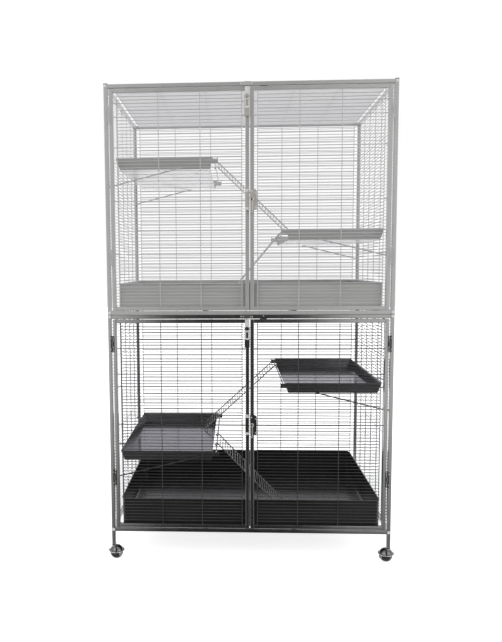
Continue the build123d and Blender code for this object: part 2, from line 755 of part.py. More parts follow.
# Casters: where each leg stands, and the way its wheel trails behind the leg in degrees
casters = {
    "front_left": (-1, -1, 40),
    "front_right": (1, -1, 124),
    "rear_left": (-1, 1, 200),
    "rear_right": (1, 1, 290),
}
neck_top = leg_bottom - socket_head - running_gap
hood_inner = ball_radius + ball_gap
for caster_name, (side, end, heading) in casters.items():
    trail = Vector(cos(radians(heading)), sin(radians(heading)), 0)
    axle = Vector(-trail.Y, trail.X, 0)
    leg = Vector(side * post_x, end * post_y, 0)
    middle = leg + trail * caster_trail + Vector(0, 0, ball_radius)
    with BuildPart() as caster_hood:
        with Locations(middle):
            Sphere(hood_inner + hood_wall)
        split(bisect_by=Plane.XY.offset(middle.Z + hood_rim_height), keep=Keep.TOP)
        with BuildSketch(Plane.XY.offset(middle.Z + hood_rim_height)):
            with Locations((middle.X, middle.Y)):
                Circle(hood_rim_radius)
        extrude(amount=hood_rim_thickness)
        with BuildSketch(Plane.XY.offset(middle.Z + hood_rim_height)):
            with Locations((leg.X, leg.Y)):
                Circle(neck_radius)
        extrude(amount=neck_top - middle.Z - hood_rim_height)
        with Locations(middle):
            Sphere(hood_inner, mode=Mode.SUBTRACT)
        for cheek in (-1, 1):
            with BuildSketch(
                Plane(origin=middle + axle * cheek * cheek_inner, x_dir=trail, z_dir=axle * cheek)
            ):
                Circle(cheek_width / 2)
                with Locations((0, -cheek * hood_rim_height / 2)):
                    Rectangle(cheek_width, hood_rim_height)
            extrude(amount=cheek_thickness)
        with BuildSketch(Plane(origin=middle - axle * (cheek_inner + cheek_thickness), z_dir=axle)):
            Circle(axle_radius)
        extrude(amount=2 * (cheek_inner + cheek_thickness))
        with BuildSketch(Plane.XY.offset(neck_top)):
            with Locations((leg.X, leg.Y)):
                Circle(stem_radius)
        extrude(amount=stem_length)
    caster_hood.part.label = f"{caster_name}_caster_hood"
    export_step(caster_hood.part, f"parts/{caster_hood.part.label}.step")

    with BuildPart() as caster_ball:
        with Locations(middle):
            Sphere(ball_radius)
        with BuildSketch(Plane(origin=middle - axle * ball_radius, z_dir=axle)):
            Circle(axle_radius + axle_gap)
        extrude(amount=2 * ball_radius, mode=Mode.SUBTRACT)
    caster_ball.part.label = f"{caster_name}_caster_ball"
    export_step(caster_ball.part, f"parts/{caster_ball.part.label}.step")

# Plastic sockets in the legs, which hold the caster stems
corners = [(side * post_x, end * post_y) for side in (-1, 1) for end in (-1, 1)]
with BuildPart() as caster_sockets:
    with BuildSketch(Plane.XY.offset(leg_bottom - socket_head)):
        with Locations(*corners):
            Rectangle(tube, tube)
    extrude(amount=socket_head)
    with BuildSketch(Plane.XY.offset(leg_bottom)):
        with Locations(*corners):
            Rectangle(plug_size, plug_size)
    extrude(amount=socket_length)
    with BuildSketch(Plane.XY.offset(leg_bottom - socket_head)):
        with Locations(*corners):
            Circle(stem_radius + stem_gap)
    extrude(amount=stem_length + running_gap, mode=Mode.SUBTRACT)
caster_sockets.part.label = "caster_sockets"
export_step(caster_sockets.part, "parts/caster_sockets.step")

# Plugs in the posts: the connectors between the tiers, and the caps on top
with BuildPart() as post_plugs:
    with BuildSketch(Plane.XY.offset(junction - connector_length)):
        with Locations(*corners):
            Rectangle(plug_size, plug_size)
    extrude(amount=2 * connector_length)
    with BuildSketch(Plane.XY.offset(junction - collar_thickness / 2)):
        with Locations(*corners):
            Rectangle(tube, tube)
    extrude(amount=collar_thickness)
    with BuildSketch(Plane.XY.offset(top)):
        with Locations(*corners):
            Rectangle(plug_size, plug_size)
    extrude(amount=-cap_length)
    with BuildSketch(Plane.XY.offset(top)):
        with Locations(*corners):
            Rectangle(tube, tube)
    extrude(amount=cap_thickness)
post_plugs.part.label = "post_plugs"
export_step(post_plugs.part, "parts/post_plugs.step")

# Round covers over the bolts that tie the rails to the posts, front and back
with BuildPart() as bolt_covers:
    for end in (-1, 1):
        with BuildSketch(wall_plane(0, end * depth / 2, 0, (0, end, 0))):
            with Locations(*[
                (side * post_x, z)
                for side in (-1, 1)
                for level in tiers.values()
                for z in (level["base"] + tube / 2, level["top"] - tube / 2)
            ]):
                Circle(cover_radius)
        extrude(amount=cover_thickness)
bolt_covers.part.label = "bolt_covers"
export_step(bolt_covers.part, "parts/bolt_covers.step")
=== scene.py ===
import bmesh
import bpy
import json
from math import cos, pi, radians, sin
from mathutils import Matrix, Vector


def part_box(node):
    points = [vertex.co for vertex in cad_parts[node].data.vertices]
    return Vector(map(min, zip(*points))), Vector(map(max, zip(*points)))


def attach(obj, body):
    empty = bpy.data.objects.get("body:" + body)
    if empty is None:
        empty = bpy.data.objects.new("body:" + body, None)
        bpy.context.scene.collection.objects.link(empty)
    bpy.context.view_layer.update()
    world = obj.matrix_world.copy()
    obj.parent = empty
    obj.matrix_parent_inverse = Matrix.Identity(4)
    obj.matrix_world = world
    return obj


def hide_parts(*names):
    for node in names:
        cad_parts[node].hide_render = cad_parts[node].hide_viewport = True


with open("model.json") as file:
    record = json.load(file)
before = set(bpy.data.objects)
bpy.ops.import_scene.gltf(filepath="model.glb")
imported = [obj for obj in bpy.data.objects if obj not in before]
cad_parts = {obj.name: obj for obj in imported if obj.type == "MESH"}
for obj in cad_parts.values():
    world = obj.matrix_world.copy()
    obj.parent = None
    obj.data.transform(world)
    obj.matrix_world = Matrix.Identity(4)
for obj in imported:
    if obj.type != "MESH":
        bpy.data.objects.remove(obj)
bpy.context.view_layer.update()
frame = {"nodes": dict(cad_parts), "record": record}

# Sizes in metres that the pieces share with the frame
tube = 0.013
door_tube = 0.0127
row_wire = 0.0022
column_wire = 0.0025
row_pitch = 0.0108
weld_seam = 0.0002
door_columns = 4
door_column_inset = 0.0115
back_columns = 7
back_column_inset = 0.014
side_columns = 7
side_column_inset = 0.008
panel_ties = (0.308, 0.581)
tie_wire = 0.0030
tier_base = {"lower": 0.099, "upper": 0.846}
tier_top = {"lower": 0.846, "upper": 1.598}
door_ties = {"lower": (0.377, 0.504, 0.548, 0.634), "upper": (0.205, 0.377, 0.552, 0.649, 0.691)}
hinges = {"lower": (0.190, 0.650), "upper": (0.192, 0.655)}
sides = {"left": -1, "right": 1}
post_x = 0.4685
post_y = 0.3085
inner_x = post_x - tube / 2
inner_y = post_y - tube / 2
front = -0.315


# Shader groups
def shader_group(name, inputs, outputs):
    """An empty group with float inputs, given with their defaults, and float outputs."""
    group = bpy.data.node_groups.new(name, "ShaderNodeTree")
    for label, default in inputs.items():
        socket = group.interface.new_socket(name=label, in_out="INPUT", socket_type="NodeSocketFloat")
        socket.default_value = default
    for label in outputs:
        group.interface.new_socket(name=label, in_out="OUTPUT", socket_type="NodeSocketFloat")
    return group, group.nodes.new("NodeGroupInput"), group.nodes.new("NodeGroupOutput")


def stretched_place(group, stretch):
    """The place on the object, in metres, drawn out along one axis."""
    place = group.nodes.new("ShaderNodeTexCoord")
    mapping = group.nodes.new("ShaderNodeMapping")
    mapping.inputs["Scale"].default_value = stretch
    group.links.new(place.outputs["Object"], mapping.inputs["Vector"])
    return mapping.outputs["Vector"]


def hammered_group():
    """Shallow dimples of hammered enamel: their height, and a tone that pools between them."""
    group, entry, exit_node = shader_group("hammered enamel", {"Scale": 260.0}, ("Height", "Tone"))
    place = stretched_place(group, (1, 1, 1))
    cells = group.nodes.new("ShaderNodeTexVoronoi")
    cells.feature = "SMOOTH_F1"
    cloud = group.nodes.new("ShaderNodeTexNoise")
    cloud.inputs["Scale"].default_value = 26
    cloud.inputs["Detail"].default_value = 4
    tone = group.nodes.new("ShaderNodeMath")
    tone.operation = "MULTIPLY_ADD"
    tone.inputs[1].default_value = 0.55
    group.links.new(place, cells.inputs["Vector"])
    group.links.new(place, cloud.inputs["Vector"])
    group.links.new(entry.outputs["Scale"], cells.inputs["Scale"])
    group.links.new(cells.outputs["Distance"], tone.inputs[0])
    group.links.new(cloud.outputs["Fac"], tone.inputs[2])
    group.links.new(cells.outputs["Distance"], exit_node.inputs["Height"])
    group.links.new(tone.outputs[0], exit_node.inputs["Tone"])
    return group


def rubbed_group():
    """Long faint marks of wiping and wear, drawn out along the width."""
    group, entry, exit_node = shader_group("rubbed marks", {"Scale": 40.0}, ("Mask",))
    streaks = group.nodes.new("ShaderNodeTexNoise")
    streaks.inputs["Detail"].default_value = 6
    streaks.inputs["Roughness"].default_value = 0.62
    spread = group.nodes.new("ShaderNodeMapRange")
    spread.inputs["From Min"].default_value = 0.36
    spread.inputs["From Max"].default_value = 0.70
    group.links.new(stretched_place(group, (0.10, 1, 1.6)), streaks.inputs["Vector"])
    group.links.new(entry.outputs["Scale"], streaks.inputs["Scale"])
    group.links.new(streaks.outputs["Fac"], spread.inputs["Value"])
    group.links.new(spread.outputs["Result"], exit_node.inputs["Mask"])
    return group


def dust_group():
    """Dust that gathers in clouds on the faces that look up."""
    group, entry, exit_node = shader_group("settled dust", {"Amount": 0.25}, ("Mask",))
    facing = group.nodes.new("ShaderNodeNewGeometry")
    split = group.nodes.new("ShaderNodeSeparateXYZ")
    upward = group.nodes.new("ShaderNodeMapRange")
    upward.inputs["From Min"].default_value = 0.3
    upward.inputs["From Max"].default_value = 0.95
    cloud = group.nodes.new("ShaderNodeTexNoise")
    cloud.inputs["Scale"].default_value = 34
    cloud.inputs["Detail"].default_value = 5
    patchy = group.nodes.new("ShaderNodeMath")
    patchy.operation = "MULTIPLY"
    amount = group.nodes.new("ShaderNodeMath")
    amount.operation = "MULTIPLY"
    group.links.new(facing.outputs["Normal"], split.inputs[0])
    group.links.new(split.outputs["Z"], upward.inputs["Value"])
    group.links.new(stretched_place(group, (1, 1, 1)), cloud.inputs["Vector"])
    group.links.new(upward.outputs["Result"], patchy.inputs[0])
    group.links.new(cloud.outputs["Fac"], patchy.inputs[1])
    group.links.new(patchy.outputs[0], amount.inputs[0])
    group.links.new(entry.outputs["Amount"], amount.inputs[1])
    group.links.new(amount.outputs[0], exit_node.inputs["Mask"])
    return group


def underside_group():
    """The faces that look down: the upper shelves get painted pale light there, near white."""
    group, _, exit_node = shader_group("faces that look down", {}, ("Mask",))
    facing = group.nodes.new("ShaderNodeNewGeometry")
    split = group.nodes.new("ShaderNodeSeparateXYZ")
    downward = group.nodes.new("ShaderNodeMapRange")
    downward.inputs["From Min"].default_value = -0.4
    downward.inputs["From Max"].default_value = -0.9
    group.links.new(facing.outputs["Normal"], split.inputs[0])
    group.links.new(split.outputs["Z"], downward.inputs["Value"])
    group.links.new(downward.outputs["Result"], exit_node.inputs["Mask"])
    return group


def upper_tier_group():
    """The places above the joint between the tiers."""
    group, _, exit_node = shader_group("upper tier", {}, ("Mask",))
    place = group.nodes.new("ShaderNodeTexCoord")
    split = group.nodes.new("ShaderNodeSeparateXYZ")
    above = group.nodes.new("ShaderNodeMath")
    above.operation = "GREATER_THAN"
    above.inputs[1].default_value = tier_base["upper"]
    group.links.new(place.outputs["Object"], split.inputs[0])
    group.links.new(split.outputs["Z"], above.inputs[0])
    group.links.new(above.outputs[0], exit_node.inputs["Mask"])
    return group


hammered = hammered_group()
rubbed = rubbed_group()
dust = dust_group()
painted_light_underside = underside_group()
upper_tier = upper_tier_group()


# Materials
def grey(value, warmth=0.0):
    """A grey, with more red and less blue where it is warm."""
    return (value * (1 + warmth), value, value * (1 - warmth), 1.0)


def tinted(value, blue):
    """A grey with a little blue and violet in it."""
    return (value * (1 + blue * 0.2), value * (1 - blue * 0.4), value * (1 + blue), 1.0)


def finish_material(name, deep, light, roughness, metallic=0.0, effect=None, scale=260.0, bump=0.0,
                    dusty=0.0, coat=0.0, specular=0.5, other=None):
    """A surface whose colour runs from deep to light with an effect, and its roughness with it.

    other holds a group with a mask, and the colour of what the mask covers.
    """
    material = bpy.data.materials.new(name)
    material.use_nodes = True
    tree = material.node_tree
    shader = tree.nodes["Principled BSDF"]
    shader.inputs["Metallic"].default_value = metallic
    shader.inputs["Coat Weight"].default_value = coat
    shader.inputs["Specular IOR Level"].default_value = specular
    pattern = tree.nodes.new("ShaderNodeGroup")
    pattern.node_tree = effect or hammered
    pattern.inputs["Scale"].default_value = scale
    tone = pattern.outputs["Tone"] if "Tone" in pattern.outputs else pattern.outputs["Mask"]
    ramp = tree.nodes.new("ShaderNodeValToRGB")
    ramp.color_ramp.elements[0].position = 0.25
    ramp.color_ramp.elements[0].color = deep
    ramp.color_ramp.elements[1].position = 0.95
    ramp.color_ramp.elements[1].color = light
    tree.links.new(tone, ramp.inputs["Fac"])
    settled = tree.nodes.new("ShaderNodeGroup")
    settled.node_tree = dust
    settled.inputs["Amount"].default_value = dusty
    colour = tree.nodes.new("ShaderNodeMix")
    colour.data_type = "RGBA"
    colour.inputs["B"].default_value = (0.62, 0.61, 0.60, 1.0)
    tree.links.new(settled.outputs["Mask"], colour.inputs["Factor"])
    tree.links.new(ramp.outputs["Color"], colour.inputs["A"])
    surface = colour.outputs["Result"]
    if other:
        covered = tree.nodes.new("ShaderNodeGroup")
        covered.node_tree = other[0]
        parted = tree.nodes.new("ShaderNodeMix")
        parted.data_type = "RGBA"
        parted.inputs["B"].default_value = other[1]
        tree.links.new(covered.outputs["Mask"], parted.inputs["Factor"])
        tree.links.new(surface, parted.inputs["A"])
        surface = parted.outputs["Result"]
    tree.links.new(surface, shader.inputs["Base Color"])
    rough = tree.nodes.new("ShaderNodeMapRange")
    rough.inputs["To Min"].default_value = roughness[0]
    rough.inputs["To Max"].default_value = roughness[1]
    tree.links.new(tone, rough.inputs["Value"])
    tree.links.new(rough.outputs["Result"], shader.inputs["Roughness"])
    if bump:
        relief = tree.nodes.new("ShaderNodeBump")
        relief.inputs["Strength"].default_value = bump
        relief.inputs["Distance"].default_value = 0.0004
        height = pattern.outputs["Height"] if "Height" in pattern.outputs else pattern.outputs["Mask"]
        tree.links.new(height, relief.inputs["Height"])
        tree.links.new(relief.outputs["Normal"], shader.inputs["Normal"])
    return material


materials = {
    "lower_frame_paint": finish_material(
        "lower frame enamel", grey(0.36), grey(0.42), (0.08, 0.15), metallic=0.96, bump=0.05, dusty=0.04),
    "upper_frame_paint": finish_material(
        "upper frame enamel", grey(0.50), grey(0.55), (0.16, 0.26), metallic=0.28, bump=0.05, dusty=0.04),
    "lower_wire_paint": finish_material(
        "lower wire enamel", grey(0.035), grey(0.070), (0.30, 0.44), metallic=0.3, scale=500, bump=0.1),
    "upper_wire_paint": finish_material(
        "upper wire enamel", grey(0.54), grey(0.63), (0.34, 0.48), metallic=0.1, scale=500, bump=0.1),
    "lower_tray_paint": finish_material(
        "lower tray enamel", grey(0.052), grey(0.070), (0.14, 0.26), metallic=0.60, effect=rubbed, scale=30,
        bump=0.015, dusty=0.03),
    "upper_tray_paint": finish_material(
        "upper tray enamel", grey(0.52), grey(0.57), (0.28, 0.40), metallic=0.1, effect=rubbed, scale=30,
        bump=0.015),
    "lower_shelf_paint": finish_material(
        "lower shelf enamel", tinted(0.22, 0.05), tinted(0.25, 0.05), (0.12, 0.20), metallic=0.80,
        effect=rubbed, scale=30, bump=0.006, dusty=0.02),
    # upper shelves: near white on their faces that look down is painted light, not the enamel's colour
    "upper_shelf_paint": finish_material(
        "upper shelf enamel", grey(0.56), grey(0.62), (0.18, 0.30), metallic=0.2, effect=rubbed, scale=30,
        bump=0.015, other=(painted_light_underside, grey(0.92))),
    "hinge_metal": finish_material(
        "dulled zinc", grey(0.16), grey(0.28), (0.34, 0.52), metallic=0.9, effect=rubbed, scale=160,
        bump=0.1),
    "bright_zinc": finish_material(
        "bright zinc", grey(0.84, 0.01), grey(0.94), (0.26, 0.42), metallic=0.30, effect=rubbed, scale=180,
        bump=0.08),
    "latch_enamel": finish_material(
        "latch enamel", grey(0.012, 0.05), grey(0.030, 0.05), (0.22, 0.34), metallic=0.1, scale=420,
        bump=0.15, coat=0.3),
    # the hoods' chrome gets a dark base colour: a painted dark reflection of the room in front of them
    "caster_chrome": finish_material(
        "caster chrome with painted dark reflection", grey(0.15), grey(0.21), (0.05, 0.12), metallic=1.0, effect=rubbed, scale=120,
        bump=0.03),
    "caster_rubber": finish_material(
        "caster rubber", grey(0.010, 0.12), grey(0.022, 0.10), (0.26, 0.42), effect=rubbed, scale=150,
        bump=0.1, dusty=0.02, specular=0.2),
    "black_plastic": finish_material(
        "black plastic", grey(0.020), grey(0.032), (0.44, 0.56), scale=900, bump=0.12, dusty=0.1),
    "white_plastic": finish_material(
        "white plastic", grey(0.78), grey(0.84), (0.28, 0.36), scale=900, bump=0.05),
}
lever_chrome = finish_material(
    "lever chrome", grey(0.80), grey(0.88), (0.08, 0.18), metallic=1.0, effect=rubbed, scale=120, bump=0.03)
ramp_wire = finish_material(
    "lower ramp enamel", grey(0.16), grey(0.24), (0.24, 0.36), metallic=0.6, scale=500, bump=0.1)
roof_wire = finish_material(
    "roof wire enamel", tinted(0.74, 0.02), tinted(0.82, 0.02), (0.34, 0.48), scale=500, bump=0.1)
pale_latch = finish_material(
    "pale latch enamel", grey(0.42, 0.05), grey(0.52, 0.05), (0.26, 0.38), metallic=0.1, scale=420,
    bump=0.15)
pale_leaf = finish_material(
    "pale hinge enamel", grey(0.50), grey(0.60), (0.30, 0.44), metallic=0.1, scale=500, bump=0.1, dusty=0.1)
hinge_enamel = finish_material(
    "hinge enamel", grey(0.022), grey(0.040), (0.28, 0.42), scale=500, bump=0.1,
    other=(upper_tier, grey(0.55)))
black_leaf = finish_material(
    "black hinge enamel", grey(0.022), grey(0.040), (0.28, 0.42), scale=500, bump=0.1, dusty=0.1)
keeper_metal = finish_material(
    "keeper metal", grey(0.10), grey(0.18), (0.30, 0.45), metallic=0.5, effect=rubbed, scale=160, bump=0.08,
    other=(upper_tier, grey(0.62)))
# near black in the screws' recesses: painted shade, where the holes lie in shadow
painted_shade_recess = finish_material("painted shade in screw recess", grey(0.015), grey(0.03), (0.5, 0.7), scale=900)
pale_band = finish_material(
    "pale wheel band", grey(0.42, 0.03), grey(0.55, 0.02), (0.34, 0.46), effect=rubbed, scale=150, bump=0.1)


# Mesh helpers
def skin(mesh, rings, closed=False):
    """Joins rings of points, each as long as the next, into a surface."""
    loops = [[mesh.verts.new(point) for point in ring] for ring in rings]
    pairs = list(zip(loops, loops[1:]))
    if closed:
        pairs.append((loops[-1], loops[0]))
    for one, other in pairs:
        count = len(one)
        for i in range(count):
            j = (i + 1) % count
            mesh.faces.new((one[i], one[j], other[j], other[i]))
    if not closed:
        mesh.faces.new(list(reversed(loops[0])))
        mesh.faces.new(loops[-1])


def rounded_ring(centre, across, up, half_across, half_up, radius, steps=3):
    """A rectangle with rounded corners."""
    points = []
    for quarter, (sx, sy) in enumerate(((1, 1), (-1, 1), (-1, -1), (1, -1))):
        for step in range(steps + 1):
            turn = (quarter + step / steps) * pi / 2
            x = sx * (half_across - radius) + radius * cos(turn)
            y = sy * (half_up - radius) + radius * sin(turn)
            points.append(centre + across * x + up * y)
    return points


def round_ring(centre, across, up, radius, count):
    return [
        centre + (across * cos(2 * pi * i / count) + up * sin(2 * pi * i / count)) * radius
        for i in range(count)
    ]


def cross_axes(direction):
    """Two axes square to a direction."""
    helper = Vector((0, 0, 1)) if abs(direction.z) < 0.9 else Vector((1, 0, 0))
    across = helper.cross(direction).normalized()
    return across, direction.cross(across).normalized()


def wire(mesh, start, end, radius, count=8):
    across, up = cross_axes((end - start).normalized())
    skin(mesh, [round_ring(point, across, up, radius, count) for point in (start, end)])


def bent_wire(mesh, points, side_axis, radius, count=10):
    """A round wire along points that lie in one plane, square to side_axis."""
    rings = []
    for i, point in enumerate(points):
        ahead = points[min(i + 1, len(points) - 1)] - points[max(i - 1, 0)]
        rings.append(round_ring(point, side_axis, ahead.normalized().cross(side_axis), radius, count))
    skin(mesh, rings)


def bar(mesh, start, end, half_across, half_up, across, radius, edge):
    """A straight bar with rounded corners and softened ends."""
    along = (end - start).normalized()
    up = along.cross(across).normalized()
    skin(mesh, [
        rounded_ring(start, across, up, half_across - edge, half_up - edge, max(radius - edge, edge / 2)),
        rounded_ring(start + along * edge, across, up, half_across, half_up, radius),
        rounded_ring(end - along * edge, across, up, half_across, half_up, radius),
        rounded_ring(end, across, up, half_across - edge, half_up - edge, max(radius - edge, edge / 2)),
    ])


def turned(mesh, base, axis, profile, count=24):
    """A shape of revolution: profile holds its heights along axis and its radii."""
    across, up = cross_axes(axis)
    skin(mesh, [round_ring(base + axis * height, across, up, radius, count) for height, radius in profile])


def square_tube(mesh, start, end, size, across):
    bar(mesh, start, end, size / 2, size / 2, across, 0.0016, 0.0003)


def weld_bead(mesh, centre, along, across, size):
    """The bead round a tube's end, where it meets another tube."""
    up = along.cross(across)
    profile = [(0.0007 * cos(turn * pi / 3), 0.0007 * sin(turn * pi / 3)) for turn in range(6)]
    skin(mesh, [
        rounded_ring(centre + along * shift, across, up, size / 2 + grow, size / 2 + grow, 0.0016)
        for shift, grow in profile
    ], closed=True)


def even_shading(made):
    """Keeps flat faces flat in the light, and the turn in the light at their rounded edges."""
    shade = made.modifiers.new("even shading", "WEIGHTED_NORMAL")
    shade.keep_sharp = True


def piece(name, mesh, material, body, slot, *replaced):
    """Turns a mesh into an object that rides on a body and stands for the nodes named."""
    mesh.normal_update()
    bmesh.ops.recalc_face_normals(mesh, faces=mesh.faces)
    data = bpy.data.meshes.new(name)
    mesh.to_mesh(data)
    mesh.free()
    for face in data.polygons:
        face.use_smooth = True
    data.set_sharp_from_angle(angle=radians(38))
    data.materials.append(material)
    made = bpy.data.objects.new(name, data)
    bpy.context.scene.collection.objects.link(made)
    even_shading(made)
    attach(made, body)
    if replaced:
        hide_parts(*replaced)
    return made


X, Y, Z = Vector((1, 0, 0)), Vector((0, 1, 0)), Vector((0, 0, 1))


# Side frames and cross rails
def side_frame(tier, side_name):
    side = sides[side_name]
    node = f"{tier}_{side_name}_frame"
    low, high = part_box(node)
    mesh = bmesh.new()
    for y in (-post_y, post_y):
        square_tube(mesh, Vector((side * post_x, y, low[2])), Vector((side * post_x, y, high[2])), tube, X)
    for z in (tier_base[tier] + tube / 2, tier_top[tier] - tube / 2):
        reach = inner_y - weld_seam
        square_tube(mesh, Vector((side * post_x, -reach, z)), Vector((side * post_x, reach, z)), tube, X)
        for end in (-1, 1):
            weld_bead(mesh, Vector((side * post_x, end * inner_y, z)), Y, X, tube)
    slot = f"{tier}_frame_paint"
    piece(f"{node}_tubes", mesh, materials[slot], "cage", slot, node)


def cross_rails(tier):
    mesh = bmesh.new()
    reach = inner_x - weld_seam
    for y in (-post_y, post_y):
        for z in (tier_base[tier] + tube / 2, tier_top[tier] - tube / 2):
            square_tube(mesh, Vector((-reach, y, z)), Vector((reach, y, z)), tube, Y)
            for end in (-1, 1):
                weld_bead(mesh, Vector((end * inner_x, y, z)), X, Y, tube)
    reach = inner_y - weld_seam
    for x in (-0.15, 0.15):
        z = tier_base[tier] + tube / 2
        square_tube(mesh, Vector((x, -reach, z)), Vector((x, reach, z)), tube, X)
        for end in (-1, 1):
            weld_bead(mesh, Vector((x, end * inner_y, z)), Y, X, tube)
    slot = f"{tier}_frame_paint"
    piece(f"{tier}_cross_rail_tubes", mesh, materials[slot], "cage", slot, f"{tier}_cross_rails")


for tier in tier_base:
    cross_rails(tier)
    for side_name in sides:
        side_frame(tier, side_name)


# Grilles of round wire, the columns welded over the rows
def grille(node, body, tier, across, up, outward, inset, columns, ties, material=None):
    """ties are heights above the grille's lower edge, where a thicker row runs out to the tubes."""
    low, high = Vector(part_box(node)[0]), Vector(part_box(node)[1])
    middle = (low + high) / 2
    span = high - low
    reach = abs(span.dot(across)) / 2
    height = abs(span.dot(up)) + 2 * weld_seam
    foot = middle - up * height / 2
    edge = reach + weld_seam - inset
    layers = row_wire + weld_seam + column_wire
    row_depth = outward * (row_wire / 2 - layers / 2)
    column_depth = outward * (layers / 2 - column_wire / 2)
    count = round(height / row_pitch)
    rows = [height * step / count for step in range(1, count)]
    tied = {min(rows, key=lambda row: abs(row - tie)) for tie in ties}
    mesh = bmesh.new()
    for row in rows:
        if row in tied:
            run, radius = reach, tie_wire / 2
            depth = row_depth - outward * (tie_wire - row_wire) / 2
        else:
            run, radius, depth = edge + column_wire / 2, row_wire / 2, row_depth
        centre = foot + up * row + depth
        wire(mesh, centre - across * run, centre + across * run, radius)
    for step in range(columns):
        x = edge * (2 * step / (columns - 1) - 1)
        centre = foot + across * x + column_depth
        wire(mesh, centre + up * weld_seam, centre + up * (height - weld_seam), column_wire / 2)
    slot = f"{tier}_wire_paint"
    piece(f"{node}_wires", mesh, material or materials[slot], body, slot, node)


for tier, base in tier_base.items():
    for side_name, side in sides.items():
        grille(f"{tier}_{side_name}_grille", "cage", tier, Y, Z, X * side, side_column_inset, side_columns,
               panel_ties)
        door_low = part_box(f"{tier}_{side_name}_door_grille")[0][2] - weld_seam
        grille(f"{tier}_{side_name}_door_grille", f"{tier}_{side_name}_door", tier, X, Z, -Y,
               door_column_inset, door_columns, [base + tie - door_low for tie in door_ties[tier]])
    grille(f"{tier}_back_grille", "cage", tier, X, Z, Y, back_column_inset, back_columns, panel_ties)
grille("roof_grille", "cage", "upper", X, Y, Z, back_column_inset, back_columns, (inner_y,), roof_wire)

# Doors: stiles, rails and the hinge leaves that turn with them
hinge_height = 0.054
knuckle_height = 0.018
knuckle_radius = 0.0022
leaf_thickness = 0.0012
hinge_x = inner_x - 0.002
hinge_y = front - knuckle_radius


def door_frame(tier, side_name):
    side = sides[side_name]
    node = f"{tier}_{side_name}_door"
    low = tier_base[tier] + tube + 0.002
    high = tier_top[tier] - tube - 0.002
    far, near = inner_x - 0.004, 0.0015
    y = front + door_tube / 2
    mesh = bmesh.new()
    for x in (side * (far - door_tube / 2), side * (near + door_tube / 2)):
        square_tube(mesh, Vector((x, y, low)), Vector((x, y, high)), door_tube, X)
    ends = (near + door_tube + weld_seam, far - door_tube - weld_seam)
    for z in (low + door_tube / 2, high - door_tube / 2):
        square_tube(mesh, Vector((side * ends[0], y, z)), Vector((side * ends[1], y, z)), door_tube, Y)
        for x in ends:
            weld_bead(mesh, Vector((side * x, y, z)), X, Y, door_tube)
    slot = f"{tier}_frame_paint"
    piece(f"{node}_tubes", mesh, materials[slot], node, slot, node)
    leaves, knuckles = bmesh.new(), bmesh.new()
    for hinge in hinges[tier]:
        centre = tier_base[tier] + hinge
        for end in (-1, 1):
            wing = centre + end * (hinge_height + knuckle_height) / 4
            half = (hinge_height - knuckle_height) / 4
            x = side * (hinge_x - 0.0046)
            inner_face, outer_face = Vector((x, front, wing)), Vector((x, front - leaf_thickness, wing))
            bar(leaves, inner_face, outer_face, 0.0019, half, X, 0.0006, 0.0002)
        x = side * (hinge_x - 0.0040)
        bar(leaves, Vector((x, front, centre)), Vector((x, front - leaf_thickness, centre)), 0.0025,
            knuckle_height / 2, X, 0.0006, 0.0002)
        foot = centre - knuckle_height / 2
        turned(knuckles, Vector((side * hinge_x, hinge_y, foot)), Z, (
            (0, knuckle_radius - 0.0003), (0.0003, knuckle_radius),
            (knuckle_height - 0.0003, knuckle_radius), (knuckle_height, knuckle_radius - 0.0003)), 16)
    leaf_finish = {"lower": black_leaf, "upper": pale_leaf}[tier]
    knuckle_finish = {"lower": materials["hinge_metal"], "upper": pale_leaf}[tier]
    piece(f"{node}_leaves", leaves, leaf_finish, node, "black_plastic")
    piece(f"{node}_knuckles", knuckles, knuckle_finish, node, "hinge_metal")


for tier in tier_base:
    for side_name in sides:
        door_frame(tier, side_name)


# Trays: a pan with a rolled rim
def tray(tier):
    node = f"{tier}_tray"
    low, high = Vector(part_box(node)[0]), Vector(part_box(node)[1])
    middle = (low + high) / 2
    half_x, half_y = (high - low).x / 2, (high - low).y / 2
    rim, lean, wall, roll = 0.003, 0.0015, 0.0012, 0.0032
    height = high.z - low.z
    steps = [
        (rim + lean + 0.014, wall, 0.003),
        (rim + lean + 0.004, wall + 0.0008, 0.010),
        (rim + lean + wall - 0.0006, wall + 0.004, 0.012),
        (rim + wall, height - 0.002, 0.015),
        (rim + 0.0004, height - 0.0002, 0.0155),
        (0.0010, height, 0.017),
        (0.0, height - 0.0010, 0.018),
        (0.0, height - roll, 0.018),
        (0.0009, height - roll, 0.0172),
        (0.0012, height - 0.0014, 0.017),
        (rim - 0.0004, height - 0.0014, 0.0158),
        (rim, height - 0.004, 0.0155),
        (rim + lean, 0.004, 0.013),
        (rim + lean + 0.004, 0.0, 0.009),
    ]
    rings = []
    for inset, rise, radius in steps:
        centre = Vector((middle.x, middle.y, low.z + rise))
        rings.append(rounded_ring(centre, X, Y, half_x - inset, half_y - inset, radius, 5))
    mesh = bmesh.new()
    skin(mesh, rings)
    slot = f"{tier}_tray_paint"
    piece(f"{node}_pan", mesh, materials[slot], "cage", slot, node)


for tier in tier_base:
    tray(tier)

# Ramps: rungs between two wires that hook over the shelf's rod
ramps = {
    "lower_right": {"side": 1, "slope": 42.8, "y": 0.198},
    "lower_left": {"side": -1, "slope": 46, "y": -0.112},
    "upper_left": {"side": -1, "slope": 43.7, "y": -0.188},
    "upper_right": {"side": 1, "slope": 50, "y": -0.112},
}
ramp_width = 0.138
ramp_rail = 0.004
ramp_rung = 0.0025
rung_pitch = 0.013
first_rung = 0.011
pivot_x = 0.115
pivot_drop = 0.009
hook_radius = 0.0049


